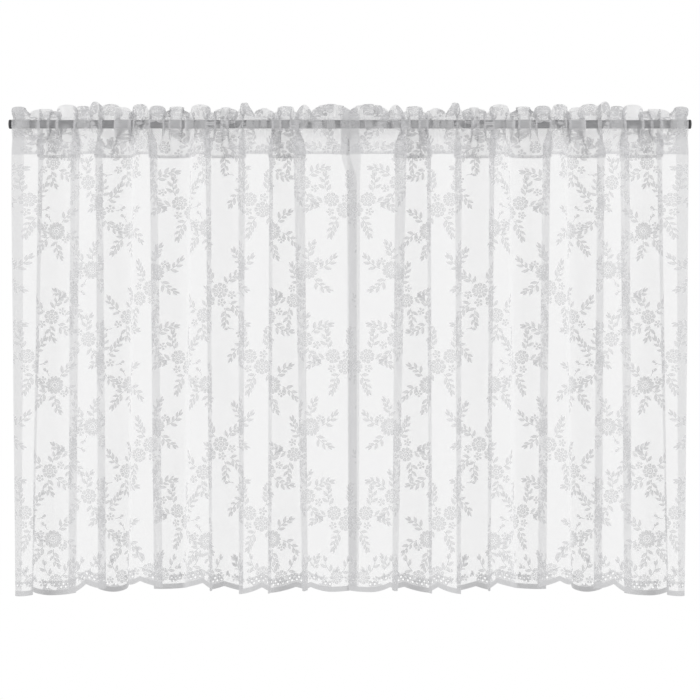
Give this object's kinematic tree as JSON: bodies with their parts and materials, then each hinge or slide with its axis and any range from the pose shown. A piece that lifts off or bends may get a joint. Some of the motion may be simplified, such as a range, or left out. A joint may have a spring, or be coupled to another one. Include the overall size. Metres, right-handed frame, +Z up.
{
  "type": "pair of lace curtains on a tension rod",
  "caption": "Pair of short sheer lace curtains with a gathered frill heading, rod pocket and scalloped hem, hung on a straight round tension rod.",
  "frame": {"origin": "centre of the flat end face of the rod's left rubber tip, which presses on the left wall", "axes": "+X along the rod from the left end to the right end, -Y towards the room, +Z up; the curtains hang towards -Z"},
  "size_m": [1.06, 0.0475, 0.7698],
  "materials": {
    "lace": "white knitted polyester lace, fine net ground with denser roses, leaves and stems",
    "rod": "satin grey steel tube",
    "rod_tips": "matt dark rubber"
  },
  "bodies": {
    "root": {"left_curtain": "lace", "right_curtain": "lace", "rod_tube": "rod", "rod_tip_left": "rod_tips", "rod_tip_right": "rod_tips"}
  },
  "joints": []
}
